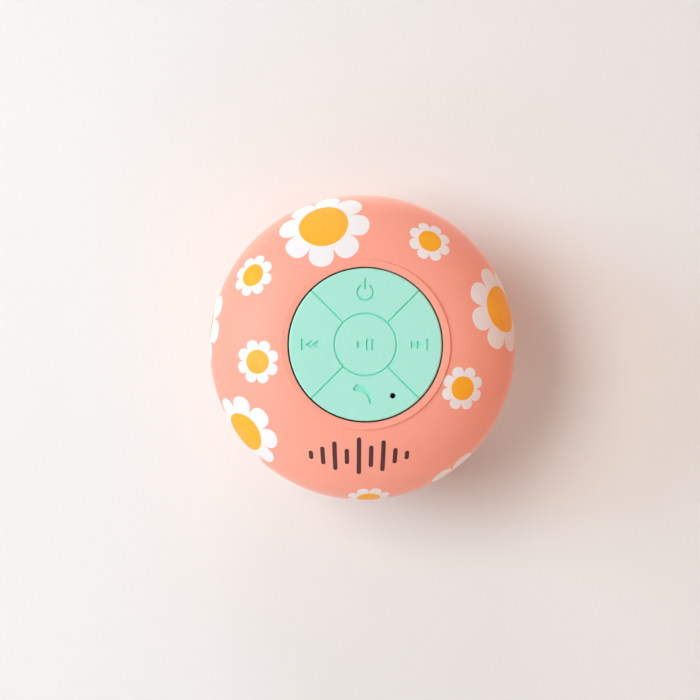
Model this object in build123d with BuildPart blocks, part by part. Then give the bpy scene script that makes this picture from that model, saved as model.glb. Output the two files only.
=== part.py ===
from build123d import *
import os
from math import atan2, cos, radians, sin, sqrt

# A round shower speaker on a suction cup. Millimetres, +Z up. The origin is the centre of the suction
# cup's lip, in the plane of the wall. +Y points into the wall, so the keypad faces -Y.
# "Distance" is always the distance from the wall, along -Y. Places on the front are (x, z).

os.makedirs("parts", exist_ok=True)

# --- Driving dimensions ---------------------------------------------------------------------------
# Housing: two quarter ellipses that meet at the widest point
BODY_RADIUS = 43.0
WIDEST = 36.5
FRONT_CENTRE = 20.0
FRONT_BULGE = 17.9
BACK = 17.0
BACK_CENTRE = 29.0
BACK_BULGE = WIDEST - BACK
WALL = 2.2
SEAM = 31.0
SEAM_CHAMFER = 0.25
BACK_INSIDE = BACK + WALL

# Keypad, its collar and the seats behind it
KEY_FACE = 55.0
COLLAR_FACE = 54.75
COLLAR_RADIUS = 23.3
OPENING_RADIUS = 21.2
KEYPAD_RADIUS = 20.8
CENTRE_GROOVE = 8.45
GROOVE = 0.34
TRAVEL = 0.3
CAP_THICKNESS = 0.6
SKIRT_INSET = 0.5
SKIRT_END = 51.5
RIB_WIDTH = 0.9
CREST_WIDTH = 0.26
SEAT = 51.6
GASKET_THICKNESS = 0.5
MAT_THICKNESS = 0.6
MAT_RADIUS = 23.0
KEY_REACH = 14.5
POST_RADIUS = 1.5
ENGRAVING = 0.4
STROKE = 0.6
MIC_PLACE = (7.4, -13.9)
MIC_HOLE = 0.78

# Circuit board and switches
BOARD_FRONT = 48.5
BOARD_THICKNESS = 1.2
BOARD_BACK = BOARD_FRONT - BOARD_THICKNESS
BOARD_RADIUS = 28.0
SWITCH_SIZE = 4.6
SWITCH_TOP = 49.6
SWITCH_FLOOR = 48.8
STEM_RADIUS = 0.95
STEM_TOP = 50.1
STEM_FOOT = 49.25
BATTERY_SIZE = (30.0, 25.0, 5.0)
TAPE = 0.5

# Speaker, which faces the wall
FLANGE = 20.7
FLANGE_THICKNESS = 1.0
SPEAKER_RADIUS = 22.5
PLATE_BACK = 31.0
MAGNET_BACK = 33.0
YOKE_BACK = 37.5
YOKE_FRONT = 39.3
SPIDER_SEAT = 27.8
FILM = 0.25

# Suction cup and its socket
CUP_RADIUS = 31.0
LIP_INSIDE = 28.5
CUP_DEPTH = 8.0
NECK_RADIUS = 5.5
NECK_HOLE = 5.58
HEAD_RADIUS = 9.0
POCKET_RADIUS = 9.2
SOCKET_RADIUS = 14.0
SOCKET_FACE = 11.5
SOCKET_STEP = 13.3

# Charging port, on the rear shell's lower side
PORT_DISTANCE = 24.0
RECESS_DEPTH = 3.2
PORT_FLOOR = 5.2
HINGE_X = -7.0
HINGE_DEPTH = 2.3
TRUNNION_RADIUS = 0.5
TRUNNION_CLEARANCE = 0.06


def back_radius(distance):
    """The housing's outer radius behind its widest point."""
    rise = (WIDEST - distance) / BACK_BULGE
    return BACK_CENTRE + (BODY_RADIUS - BACK_CENTRE) * sqrt(1 - rise**2)


def around(radius, count, start):
    """Places (x, z) evenly spaced on a circle about the speaker's axis."""
    angles = [radians(start + 360 * step / count) for step in range(count)]
    return [(radius * cos(angle), radius * sin(angle)) for angle in angles]


SEAM_RADIUS = back_radius(SEAM)
HOUSING_SCREWS = around(33.0, 4, 45)
BOARD_SCREWS = around(25.5, 4, 45)
SPEAKER_SCREWS = around(23.5, 4, 0)
RETAINER_SCREWS = around(11.6, 3, 90)
KEY_PLACES = {
    "power": (0, KEY_REACH),
    "previous": (-KEY_REACH, 0),
    "play_pause": (0, 0),
    "next": (KEY_REACH, 0),
    "phone": (0, -KEY_REACH),
}

# Sections are drawn in this plane as (radius, distance) and turned about the Y axis.
SECTION = Plane(origin=(0, 0, 0), x_dir=(1, 0, 0), z_dir=(0, 0, -1))


def facing(distance):
    """The plane at this distance that faces the room, with x along +X and y along +Z."""
    return Plane.XZ.offset(distance)


def posts(places, radius, rear, front, mode=Mode.ADD):
    """Round posts, or holes, between two distances."""
    with BuildSketch(facing(rear)) as section:
        with Locations(*places):
            Circle(radius)
    extrude(section.sketch, amount=front - rear, mode=mode)


def ring(inner, outer, rear, front, mode=Mode.ADD):
    """A flat ring about the axis."""
    with BuildSketch(facing(rear)) as section:
        Circle(outer)
        Circle(inner, mode=Mode.SUBTRACT)
    extrude(section.sketch, amount=front - rear, mode=mode)


def block(places, width, height, rear, front, mode=Mode.ADD):
    """Rectangular blocks, width along X and height along Z."""
    with BuildSketch(facing(rear)) as section:
        with Locations(*places):
            Rectangle(width, height)
    extrude(section.sketch, amount=front - rear, mode=mode)


def turned(*corners, mode=Mode.ADD):
    """A solid turned about the axis from the corners (radius, distance) of its section."""
    with BuildSketch(SECTION) as section:
        with BuildLine():
            Polyline(*corners, close=True)
        make_face()
    revolve(section.sketch, axis=Axis.Y, mode=mode)


def housing_outline(inset, mode=Mode.ADD):
    """Half of the housing's outline, moved inwards by inset, in the sketch at hand."""
    back = BACK + inset
    front = WIDEST + FRONT_BULGE - inset
    with BuildLine() as outline:
        Line((0, back), (BACK_CENTRE, back))
        EllipticalCenterArc(
            (BACK_CENTRE, WIDEST),
            BODY_RADIUS - BACK_CENTRE - inset,
            BACK_BULGE - inset,
            start_angle=-90,
            arc_size=90,
        )
        EllipticalCenterArc(
            (FRONT_CENTRE, WIDEST),
            BODY_RADIUS - FRONT_CENTRE - inset,
            FRONT_BULGE - inset,
            start_angle=0,
            arc_size=90,
        )
        Line((FRONT_CENTRE, front), (0, front))
        Line((0, front), (0, back))
    make_face(outline.edges(), mode=mode)


def keep_inside(inset):
    """Trims the part at hand to the housing's form, moved inwards by inset."""
    with BuildSketch(SECTION) as section:
        housing_outline(inset)
    revolve(section.sketch, axis=Axis.Y, mode=Mode.INTERSECT)


def housing_wall(side):
    """The housing's wall on one side of the seam: Align.MIN keeps the front, Align.MAX the rear."""
    with BuildSketch(SECTION) as section:
        housing_outline(0)
        housing_outline(WALL, Mode.SUBTRACT)
        with Locations((0, SEAM)):
            Rectangle(BODY_RADIUS, KEY_FACE, align=(Align.MIN, side), mode=Mode.INTERSECT)
    revolve(section.sketch, axis=Axis.Y)


def rims(part, radius, distance):
    """The round edges about the axis with this radius, at this distance."""
    return part.edges().filter_by(GeomType.CIRCLE).filter_by(
        lambda edge: abs(edge.radius - radius) < 0.01
        and abs(edge.arc_center.Y + distance) < 0.01
        and abs(edge.arc_center.X) < 0.01
    )


def screws(places, shank_radius, tip, seat, head_radius, head_top):
    """Cross-head screws: the shank from tip to seat, the head from seat to head_top."""
    posts(places, shank_radius, min(tip, seat), max(tip, seat))
    posts(places, head_radius, min(seat, head_top), max(seat, head_top))
    recess_floor = head_top + 0.6 * (seat - head_top)
    rear, front = sorted((head_top, recess_floor))
    for width, height in ((1.3, 0.3), (0.3, 1.3)):
        block(places, width * head_radius, height * head_radius, rear, front, Mode.SUBTRACT)


def sphere_radius(half_width, rise):
    """The radius of a sphere whose cap has this half width and rise."""
    return (half_width**2 + rise**2) / (2 * rise)


def save(part, name):
    """Labels a finished piece and writes its STEP file."""
    part.label = name
    export_step(part, f"parts/{name}.step")


# --- Charging port plane --------------------------------------------------------------------------
# Its origin is on the outer surface, under the housing; z points out along the surface's normal, x is +X
# and y points forwards along the surface.
port_rise = (WIDEST - PORT_DISTANCE) / BACK_BULGE
port_radius = back_radius(PORT_DISTANCE)
port_tilt = atan2(
    port_rise / BACK_BULGE,
    (port_radius - BACK_CENTRE) / (BODY_RADIUS - BACK_CENTRE) ** 2,
)
PORT = Plane(
    origin=(0, -PORT_DISTANCE, -port_radius),
    x_dir=(1, 0, 0),
    z_dir=(0, sin(port_tilt), -cos(port_tilt)),
)
# The same place seen along the surface, for the hinge and the board's screws: x is +X and y is outwards.
PORT_SIDE = Plane(origin=PORT.origin, x_dir=(1, 0, 0), z_dir=-PORT.y_dir)


def port_box(x_span, y_span, depth_span, corner=0.1, mode=Mode.ADD):
    """A block in the port plane between two depths under the surface, its long edges rounded."""
    with BuildSketch(PORT.offset(-depth_span[1])) as section:
        with Locations((sum(x_span) / 2, sum(y_span) / 2)):
            RectangleRounded(x_span[1] - x_span[0], y_span[1] - y_span[0], corner)
    extrude(section.sketch, amount=depth_span[1] - depth_span[0], mode=mode)


def port_bar(x, depth, radius, y_span, mode=Mode.ADD):
    """A round bar, or hole, along the port's y."""
    with BuildSketch(PORT_SIDE.offset(-y_span[1])) as section:
        with Locations((x, -depth)):
            Circle(radius)
    extrude(section.sketch, amount=y_span[1] - y_span[0], mode=mode)


# --- Front shell: the domed front half, with the collar round the keypad ---------------------------
POST_MEETING = 27.0
FRONT_POST = 2.6
STANDOFF = 2.0
HOUSING_SHANK = 1.1
HOUSING_TIP = 33.0
BOARD_SHANK = 0.9
BOARD_TIP = 51.3
TONGUE = (39.9, 41.1)
TONGUE_END = 33.2
RABBET_RADIUS = 41.2
RABBET_FLOOR = 34.2
BAND_END = 36.2
SEAT_RADIUS = 25.6

with BuildPart() as front_shell:
    posts(HOUSING_SCREWS, FRONT_POST, POST_MEETING, KEY_FACE)
    posts(BOARD_SCREWS, STANDOFF, BOARD_FRONT, KEY_FACE)
    keep_inside(WALL / 2)
    housing_wall(Align.MIN)
    turned(
        (OPENING_RADIUS - 1, SEAT),
        (SEAT_RADIUS, SEAT),
        (SEAT_RADIUS, SEAT + WALL / 2),
        (COLLAR_RADIUS, SEAT + WALL),
        (COLLAR_RADIUS, COLLAR_FACE),
        (OPENING_RADIUS - 1, COLLAR_FACE),
    )
    posts([(0, 0)], OPENING_RADIUS, SEAT - 1, KEY_FACE, Mode.SUBTRACT)
    ring(TONGUE[0] - 0.1, RABBET_RADIUS + 0.3, RABBET_FLOOR, BAND_END)
    ring(TONGUE[0] - 1, RABBET_RADIUS, SEAM - 1, RABBET_FLOOR, Mode.SUBTRACT)
    posts(HOUSING_SCREWS, HOUSING_SHANK, POST_MEETING, HOUSING_TIP + 1, Mode.SUBTRACT)
    posts(BOARD_SCREWS, BOARD_SHANK, BOARD_FRONT, BOARD_TIP, Mode.SUBTRACT)
    fillet(rims(front_shell, COLLAR_RADIUS, COLLAR_FACE), 0.3)
    fillet(rims(front_shell, OPENING_RADIUS, COLLAR_FACE), 0.2)
    chamfer(rims(front_shell, SEAM_RADIUS, SEAM), SEAM_CHAMFER)
save(front_shell.part, "front_shell")

# --- Rear shell: back wall with the grille, the cup's socket and the charging port ------------------
REAR_POST = 3.3
HOUSING_HEAD_SEAT = 21.0
HOUSING_HEAD = 2.1
HOUSING_HEAD_TOP = HOUSING_HEAD_SEAT - 1.5
SPEAKER_POST = 1.6
SPEAKER_SHANK = 0.8
SPEAKER_TIP = 18.0
RETAINER_SHANK = 0.9
RETAINER_TIP = 17.8
SLOT_COUNT = 24
SLOT_SIZE = (4.6, 1.5)
SLOT_REACH = 17.2
RECESS_X = (-8.3, 8.1)
RECESS_Y = (-4.2, 4.2)
LUG_PLACES = (-7.0, 7.0)
LUG_Y = (-5.0, -2.3)
BOARD_SCREW_DEPTH = 8.5

with BuildPart() as rear_shell:
    posts(HOUSING_SCREWS, REAR_POST, BACK, POST_MEETING)
    port_box((-10, 10), (-6.2, 6.2), (-1, PORT_FLOOR), corner=1.0)
    keep_inside(0)
    ring(TONGUE[0], BODY_RADIUS + 1, SEAM, WIDEST, Mode.SUBTRACT)
    for x in LUG_PLACES:
        port_box((x - 1.8, x + 1.8), LUG_Y, (PORT_FLOOR - 1, 11.0), corner=0.3)
    housing_wall(Align.MAX)
    ring(*TONGUE, SEAM - 1.2, TONGUE_END)
    posts([(0, 0)], SOCKET_RADIUS, SOCKET_STEP, BACK + 1)
    posts([(0, 0)], POCKET_RADIUS, SOCKET_STEP, BACK, Mode.SUBTRACT)
    posts(SPEAKER_SCREWS, SPEAKER_POST, BACK + 1, FLANGE)

    posts(HOUSING_SCREWS, HOUSING_HEAD + 0.3, BACK - 1, HOUSING_HEAD_SEAT, Mode.SUBTRACT)
    posts(HOUSING_SCREWS, HOUSING_SHANK + 0.15, HOUSING_HEAD_SEAT, POST_MEETING, Mode.SUBTRACT)
    posts(RETAINER_SCREWS, RETAINER_SHANK, SOCKET_STEP, RETAINER_TIP, Mode.SUBTRACT)
    posts(SPEAKER_SCREWS, SPEAKER_SHANK, SPEAKER_TIP, FLANGE, Mode.SUBTRACT)
    with BuildSketch(facing(BACK - 1)):
        with PolarLocations(SLOT_REACH, SLOT_COUNT):
            SlotOverall(*SLOT_SIZE)
    extrude(amount=WALL + 2, mode=Mode.SUBTRACT)

    port_box(RECESS_X, RECESS_Y, (-3, RECESS_DEPTH), corner=1.2, mode=Mode.SUBTRACT)
    port_box((7.0, 9.3), (-2.2, 2.2), (-3, 1.7), corner=1.0, mode=Mode.SUBTRACT)
    port_box((-4.3, 4.3), (-1.7, 1.7), (RECESS_DEPTH - 1, PORT_FLOOR + 1), corner=1.0, mode=Mode.SUBTRACT)
    port_bar(HINGE_X, HINGE_DEPTH, TRUNNION_RADIUS + TRUNNION_CLEARANCE, (-5.05, 5.05), Mode.SUBTRACT)
    for x in LUG_PLACES:
        port_bar(x, BOARD_SCREW_DEPTH, SPEAKER_SHANK, (-4.6, LUG_Y[1]), Mode.SUBTRACT)
    chamfer(rims(rear_shell, SEAM_RADIUS, SEAM), SEAM_CHAMFER)
save(rear_shell.part, "rear_shell")

with BuildPart() as shell_gasket:
    ring(*TONGUE, TONGUE_END, RABBET_FLOOR)
save(shell_gasket.part, "shell_gasket")

with BuildPart() as housing_screws:
    screws(
        HOUSING_SCREWS, HOUSING_SHANK, HOUSING_TIP, HOUSING_HEAD_SEAT, HOUSING_HEAD, HOUSING_HEAD_TOP
    )
save(housing_screws.part, "housing_screws")

with BuildPart() as grille_mesh:
    ring(SOCKET_RADIUS + 0.3, SLOT_REACH + 2.7, BACK_INSIDE, BACK_INSIDE + 0.3)
save(grille_mesh.part, "grille_mesh")

# --- Suction cup and the ring that holds it in its socket -------------------------------------------
CUP_FRONT = 10.6
RIM_THICKNESS = 0.9
HEAD_GAP = 0.05

with BuildPart() as suction_cup:
    with BuildSketch(SECTION):
        with BuildLine():
            # hollow side: part of a sphere, then the flat lip
            RadiusArc((0, CUP_DEPTH), (LIP_INSIDE, 0), sphere_radius(LIP_INSIDE, CUP_DEPTH))
            Line((LIP_INSIDE, 0), (CUP_RADIUS, 0))
            Line((CUP_RADIUS, 0), (CUP_RADIUS, RIM_THICKNESS))
            ThreePointArc((CUP_RADIUS, RIM_THICKNESS), (21.0, 6.9), (HEAD_RADIUS, CUP_FRONT))
            Polyline(
                (HEAD_RADIUS, CUP_FRONT),
                (NECK_RADIUS, CUP_FRONT),
                (NECK_RADIUS, SOCKET_STEP + HEAD_GAP),
                (HEAD_RADIUS, SOCKET_STEP + HEAD_GAP),
                (HEAD_RADIUS, BACK - 1),
                (HEAD_RADIUS - 1, BACK - HEAD_GAP),
                (0, BACK - HEAD_GAP),
                (0, CUP_DEPTH),
            )
        make_face()
    revolve(axis=Axis.Y)
    # tab to peel the lip off the wall
    with BuildSketch(facing(0.35)):
        with Locations((0, -33)):
            RectangleRounded(9, 8, 2.5)
    extrude(amount=1.0)
    fillet(rims(suction_cup, CUP_RADIUS, RIM_THICKNESS), 0.3)
save(suction_cup.part, "suction_cup")

with BuildPart() as cup_retainer:
    ring(NECK_HOLE, SOCKET_RADIUS, SOCKET_FACE, SOCKET_STEP)
    posts(RETAINER_SCREWS, 1.9, SOCKET_FACE, SOCKET_FACE + 1.0, Mode.SUBTRACT)
    posts(RETAINER_SCREWS, RETAINER_SHANK + 0.1, SOCKET_FACE, SOCKET_STEP, Mode.SUBTRACT)
    fillet(rims(cup_retainer, SOCKET_RADIUS, SOCKET_FACE), 0.3)
save(cup_retainer.part, "cup_retainer")

with BuildPart() as retainer_screws:
    screws(RETAINER_SCREWS, RETAINER_SHANK, RETAINER_TIP, SOCKET_FACE + 1.0, 1.75, SOCKET_FACE + 0.1)
save(retainer_screws.part, "retainer_screws")


# --- Keypad: five silicone keys over a ribbed mat ---------------------------------------------------
def quarter(inset, turn, rear, front):
    """A quarter of the keypad's ring, its outline moved inwards by inset, turned from the top."""
    angle = radians(turn)
    plane = Plane(origin=(0, -rear, 0), x_dir=(cos(angle), 0, sin(angle)), z_dir=(0, -1, 0))
    reach = 2 * KEYPAD_RADIUS
    with BuildSketch(plane) as section:
        Circle(KEYPAD_RADIUS - inset)
        Circle(CENTRE_GROOVE + GROOVE / 2 + inset, mode=Mode.SUBTRACT)
        with Locations((0, (GROOVE / 2 + inset) * sqrt(2))):
            Polygon((0, 0), (reach, reach), (-reach, reach), align=None, mode=Mode.INTERSECT)
    extrude(section.sketch, amount=front - rear)


def bar(x, height):
    """An upright stroke of a sign."""
    with Locations((x, 0)):
        Rectangle(STROKE, height)


def arrowhead(x, width, height=2.3):
    """A triangle whose base is at x; it points right, or left if its width is negative."""
    Polygon((x, height / 2), (x, -height / 2), (x + width, 0), align=None)


def power_sign():
    with BuildSketch(facing(KEY_FACE)) as sign:
        with Locations((0, 14.2)):
            Circle(2.45)
            Circle(2.45 - STROKE, mode=Mode.SUBTRACT)
            Polygon((0, 0), (2.4, 4.0), (-2.4, 4.0), align=None, mode=Mode.SUBTRACT)
        with Locations((0, 16.5)):
            Rectangle(STROKE, 3.0)
    return sign.sketch


def previous_sign():
    with BuildSketch(facing(KEY_FACE)) as sign:
        bar(-17.2, 3.1)
        arrowhead(-14.5, -1.8)
        arrowhead(-12.85, -1.8)
    return sign.sketch


def next_sign():
    with BuildSketch(facing(KEY_FACE)) as sign:
        arrowhead(12.3, 1.8)
        arrowhead(13.95, 1.8)
        bar(16.9, 3.1)
    return sign.sketch


def play_pause_sign():
    with BuildSketch(facing(KEY_FACE)) as sign:
        arrowhead(-2.3, 1.5)
        bar(0.45, 3.1)
        bar(1.9, 3.1)
    return sign.sketch


def phone_sign():
    """A handset: a bow with a thick earpiece at its upper left end."""
    ear_low, ear_top = (-3.5, -12.2), (-2.4, -10.8)
    mouth_out, mouth_in = (1.75, -16.0), (0.95, -16.3)
    with BuildSketch(facing(KEY_FACE)) as sign:
        with BuildLine():
            Line(ear_low, ear_top)
            ThreePointArc(ear_top, (0.8, -12.4), mouth_out)
            Line(mouth_out, mouth_in)
            ThreePointArc(mouth_in, (0.0, -13.6), (-2.6, -12.8))
            Line((-2.6, -12.8), ear_low)
        make_face()
        fillet(sign.vertices(), 0.25)
    return sign.sketch


QUARTER_KEYS = {
    "power": (0, power_sign),
    "previous": (90, previous_sign),
    "phone": (180, phone_sign),
    "next": (270, next_sign),
}
CAP_BACK = KEY_FACE - CAP_THICKNESS
KEY_EDGE = 0.18
KEYPAD_EDGE = 0.45

for name, (turn, sign) in QUARTER_KEYS.items():
    with BuildPart() as key:
        quarter(0, turn, CAP_BACK, KEY_FACE)
        fillet(rims(key, KEYPAD_RADIUS, KEY_FACE), KEYPAD_EDGE)
        fillet(key.faces().sort_by(Axis.Y)[0].edges(), KEY_EDGE)
        quarter(SKIRT_INSET, turn, SKIRT_END, CAP_BACK)
        posts([KEY_PLACES[name]], POST_RADIUS, STEM_TOP, SKIRT_END)
        extrude(sign(), amount=-ENGRAVING, mode=Mode.SUBTRACT)
        if name == "phone":
            posts([MIC_PLACE], MIC_HOLE, STEM_TOP, KEY_FACE, Mode.SUBTRACT)
    save(key.part, f"key_{name}")

with BuildPart() as key_play_pause:
    posts([(0, 0)], CENTRE_GROOVE - GROOVE / 2, CAP_BACK, KEY_FACE)
    fillet(key_play_pause.faces().sort_by(Axis.Y)[0].edges(), KEY_EDGE)
    posts([(0, 0)], CENTRE_GROOVE - GROOVE / 2 - SKIRT_INSET, SKIRT_END, CAP_BACK)
    posts([(0, 0)], POST_RADIUS, STEM_TOP, SKIRT_END)
    extrude(play_pause_sign(), amount=-ENGRAVING, mode=Mode.SUBTRACT)
save(key_play_pause.part, "key_play_pause")

RIB_TOP = CAP_BACK - TRAVEL - 0.05
CREST_TOP = KEY_FACE - TRAVEL - 0.05
MAT_FRONT = SEAT - GASKET_THICKNESS
MAT_BACK = MAT_FRONT - MAT_THICKNESS
SKIRT_RADIUS = KEYPAD_RADIUS - SKIRT_INSET
MIC_CLEARANCE = 0.9


def ribs(width, reach, rear, front):
    """Ribs along the grooves between the keys."""
    with BuildSketch(facing(rear)) as section:
        for angle in (45, -45):
            Rectangle(2 * reach, width, rotation=angle)
        Circle(CENTRE_GROOVE + width / 2)
        Circle(CENTRE_GROOVE - width / 2, mode=Mode.SUBTRACT)
    extrude(section.sketch, amount=front - rear)


with BuildPart() as keypad_mat:
    posts([(0, 0)], MAT_RADIUS, MAT_BACK, MAT_FRONT)
    ribs(RIB_WIDTH, SKIRT_RADIUS, MAT_FRONT, RIB_TOP)
    ribs(CREST_WIDTH, KEYPAD_RADIUS - 0.1, RIB_TOP, CREST_TOP)
    posts(KEY_PLACES.values(), POST_RADIUS + 0.4, MAT_BACK, MAT_FRONT, Mode.SUBTRACT)
    posts([MIC_PLACE], MIC_CLEARANCE, MAT_BACK, MAT_FRONT, Mode.SUBTRACT)
save(keypad_mat.part, "keypad_mat")

with BuildPart() as keypad_gasket:
    ring(SKIRT_RADIUS + 0.3, MAT_RADIUS, MAT_FRONT, SEAT)
save(keypad_gasket.part, "keypad_gasket")

with BuildPart() as keypad_clamp_ring:
    ring(MAT_RADIUS - 1.8, MAT_RADIUS, BOARD_FRONT, MAT_BACK)
save(keypad_clamp_ring.part, "keypad_clamp_ring")

# --- Main circuit board and what it carries ---------------------------------------------------------
for name, place in KEY_PLACES.items():
    with BuildPart() as switch_stem:
        posts([place], STEM_RADIUS, STEM_FOOT, STEM_TOP)
    save(switch_stem.part, f"switch_stem_{name}")

with BuildPart() as switch_housings:
    block(KEY_PLACES.values(), SWITCH_SIZE, SWITCH_SIZE, BOARD_FRONT, SWITCH_TOP)
    posts(KEY_PLACES.values(), STEM_RADIUS + 0.25, SWITCH_FLOOR, SWITCH_TOP, Mode.SUBTRACT)
save(switch_housings.part, "switch_housings")

with BuildPart() as main_board:
    posts([(0, 0)], BOARD_RADIUS, BOARD_BACK, BOARD_FRONT)
    posts(BOARD_SCREWS, BOARD_SHANK + 0.2, BOARD_BACK, BOARD_FRONT, Mode.SUBTRACT)
save(main_board.part, "main_board")

with BuildPart() as board_screws:
    screws(BOARD_SCREWS, BOARD_SHANK, BOARD_TIP, BOARD_BACK, 1.8, BOARD_BACK - 1.0)
save(board_screws.part, "board_screws")

with BuildPart() as bluetooth_module:
    block([(-21, 0)], 10, 13, BOARD_BACK - 0.8, BOARD_BACK)
    block([(-21, -1)], 9, 10, BOARD_BACK - 2.0, BOARD_BACK - 0.8)
save(bluetooth_module.part, "bluetooth_module")

with BuildPart() as amplifier_chip:
    block([(19.5, -8)], 5, 5, BOARD_BACK - 1.0, BOARD_BACK)
save(amplifier_chip.part, "amplifier_chip")

CAPACITORS = [(19.5, 11.0), (19.5, 5.5)]
with BuildPart() as filter_capacitors:
    block(CAPACITORS, 4.4, 4.4, BOARD_BACK - 0.7, BOARD_BACK)
    posts(CAPACITORS, 2.0, BOARD_BACK - 5.4, BOARD_BACK - 0.7)
save(filter_capacitors.part, "filter_capacitors")

with BuildPart() as crystal:
    block([(0, 17)], 3.2, 2.5, BOARD_BACK - 0.8, BOARD_BACK)
save(crystal.part, "crystal")

CONNECTOR_TOP = BOARD_BACK - 4.5
SPEAKER_PLUG = (20.5, 0)
BATTERY_PLUG = (-4.5, -17.5)
CHARGE_PLUG = (4.5, -17.5)
with BuildPart() as board_connectors:
    block([SPEAKER_PLUG], 4.0, 5.0, CONNECTOR_TOP, BOARD_BACK)
    block([BATTERY_PLUG, CHARGE_PLUG], 5.0, 4.0, CONNECTOR_TOP, BOARD_BACK)
save(board_connectors.part, "board_connectors")

MIC_RADIUS = 2.0
MIC_TOP = BOARD_FRONT + 1.5
with BuildPart() as microphone:
    posts([MIC_PLACE], MIC_RADIUS, BOARD_FRONT, MIC_TOP)
save(microphone.part, "microphone")

with BuildPart() as microphone_boot:
    posts([MIC_PLACE], MIC_RADIUS + 0.7, BOARD_FRONT, MAT_BACK)
    posts([MIC_PLACE], MIC_RADIUS, BOARD_FRONT, MIC_TOP, Mode.SUBTRACT)
    posts([MIC_PLACE], MIC_CLEARANCE, MIC_TOP, MAT_BACK, Mode.SUBTRACT)
save(microphone_boot.part, "microphone_boot")

BATTERY_FRONT = BOARD_BACK - TAPE
BATTERY_BACK = BATTERY_FRONT - BATTERY_SIZE[2]
with BuildPart() as battery:
    block([(0, 0)], BATTERY_SIZE[0], BATTERY_SIZE[1], BATTERY_BACK, BATTERY_FRONT)
    fillet(battery.edges().filter_by(Axis.X), 1.2)
save(battery.part, "battery")

with BuildPart() as battery_tape:
    block([(0, 0)], BATTERY_SIZE[0] - 2, BATTERY_SIZE[1] - 4, BATTERY_FRONT, BOARD_BACK)
save(battery_tape.part, "battery_tape")

# --- Speaker: a round driver that faces the wall ----------------------------------------------------
FLANGE_FRONT = FLANGE + FLANGE_THICKNESS
FLANGE_INSIDE = 17.9
POLE_RADIUS = 5.8
FORMER = (6.05, 6.3)
COIL_RADIUS = 6.7
CONE_EDGE = 16.6
CONE_EDGE_BACK = 21.2
CONE_NECK_BACK = 26.6
PAPER = 0.35

with BuildPart() as speaker_frame:
    turned(
        (FLANGE_INSIDE, FLANGE),
        (SPEAKER_RADIUS, FLANGE),
        (SPEAKER_RADIUS, FLANGE_FRONT),
        (18.8, FLANGE_FRONT),
        (15.2, SPIDER_SEAT),
        (15.2, PLATE_BACK),
        (9.0, PLATE_BACK),
        (9.0, PLATE_BACK - 0.8),
        (14.3, PLATE_BACK - 0.8),
        (14.3, SPIDER_SEAT + 0.8),
        (13.0, SPIDER_SEAT + 0.8),
        (13.0, SPIDER_SEAT),
        (14.3, SPIDER_SEAT),
        (FLANGE_INSIDE, FLANGE_FRONT),
    )
    posts(SPEAKER_SCREWS, 2.8, FLANGE, FLANGE_FRONT)
    posts([(0, 0)], FLANGE_INSIDE, FLANGE, FLANGE_FRONT, Mode.SUBTRACT)
    posts(SPEAKER_SCREWS, SPEAKER_SHANK + 0.2, FLANGE, FLANGE_FRONT, Mode.SUBTRACT)
    for turn in (45, 135):
        across = (cos(radians(turn)), 0, sin(radians(turn)))
        with BuildSketch(Plane(origin=(0, 0, 0), x_dir=(0, -1, 0), z_dir=across)):
            with Locations((24.9, 0)):
                RectangleRounded(3.6, 11, 1)
        extrude(amount=SPEAKER_RADIUS, both=True, mode=Mode.SUBTRACT)
save(speaker_frame.part, "speaker_frame")

with BuildPart() as speaker_gasket:
    ring(20.1, 21.8, BACK_INSIDE, FLANGE)
save(speaker_gasket.part, "speaker_gasket")

with BuildPart() as speaker_screws:
    screws(SPEAKER_SCREWS, SPEAKER_SHANK, SPEAKER_TIP, FLANGE_FRONT, 1.6, FLANGE_FRONT + 1.0)
save(speaker_screws.part, "speaker_screws")

with BuildPart() as speaker_front_plate:
    ring(COIL_RADIUS + 0.25, 14.0, PLATE_BACK, MAGNET_BACK)
save(speaker_front_plate.part, "speaker_front_plate")

with BuildPart() as speaker_magnet:
    ring(8.0, 15.5, MAGNET_BACK, YOKE_BACK)
save(speaker_magnet.part, "speaker_magnet")

with BuildPart() as speaker_yoke:
    posts([(0, 0)], 14.5, YOKE_BACK, YOKE_FRONT)
    posts([(0, 0)], POLE_RADIUS, PLATE_BACK, YOKE_BACK)
save(speaker_yoke.part, "speaker_yoke")

with BuildPart() as speaker_cone:
    turned(
        (FORMER[1], CONE_NECK_BACK),
        (FORMER[1], CONE_NECK_BACK + PAPER),
        (CONE_EDGE, CONE_EDGE_BACK + PAPER),
        (CONE_EDGE, CONE_EDGE_BACK),
    )
save(speaker_cone.part, "speaker_cone")

with BuildPart() as coil_former:
    ring(*FORMER, CONE_NECK_BACK, 34.6)
save(coil_former.part, "coil_former")

with BuildPart() as voice_coil:
    ring(FORMER[1], COIL_RADIUS, 31.2, 34.4)
save(voice_coil.part, "voice_coil")

DOME_RIM = 26.2
DOME_TOP = 23.6
DOME_RADII = (6.9, 6.6)
with BuildPart() as dust_cap:
    with BuildSketch(SECTION):
        with BuildLine():
            outside, inside = [(radius, DOME_RIM) for radius in DOME_RADII]
            top, under = (0, DOME_TOP), (0, DOME_TOP + PAPER)
            RadiusArc(top, outside, -sphere_radius(DOME_RADII[0], DOME_RIM - DOME_TOP))
            Line(outside, inside)
            RadiusArc(inside, under, sphere_radius(DOME_RADII[1], DOME_RIM - DOME_TOP - PAPER))
            Line(under, top)
        make_face()
    revolve(axis=Axis.Y)
save(dust_cap.part, "dust_cap")

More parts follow.
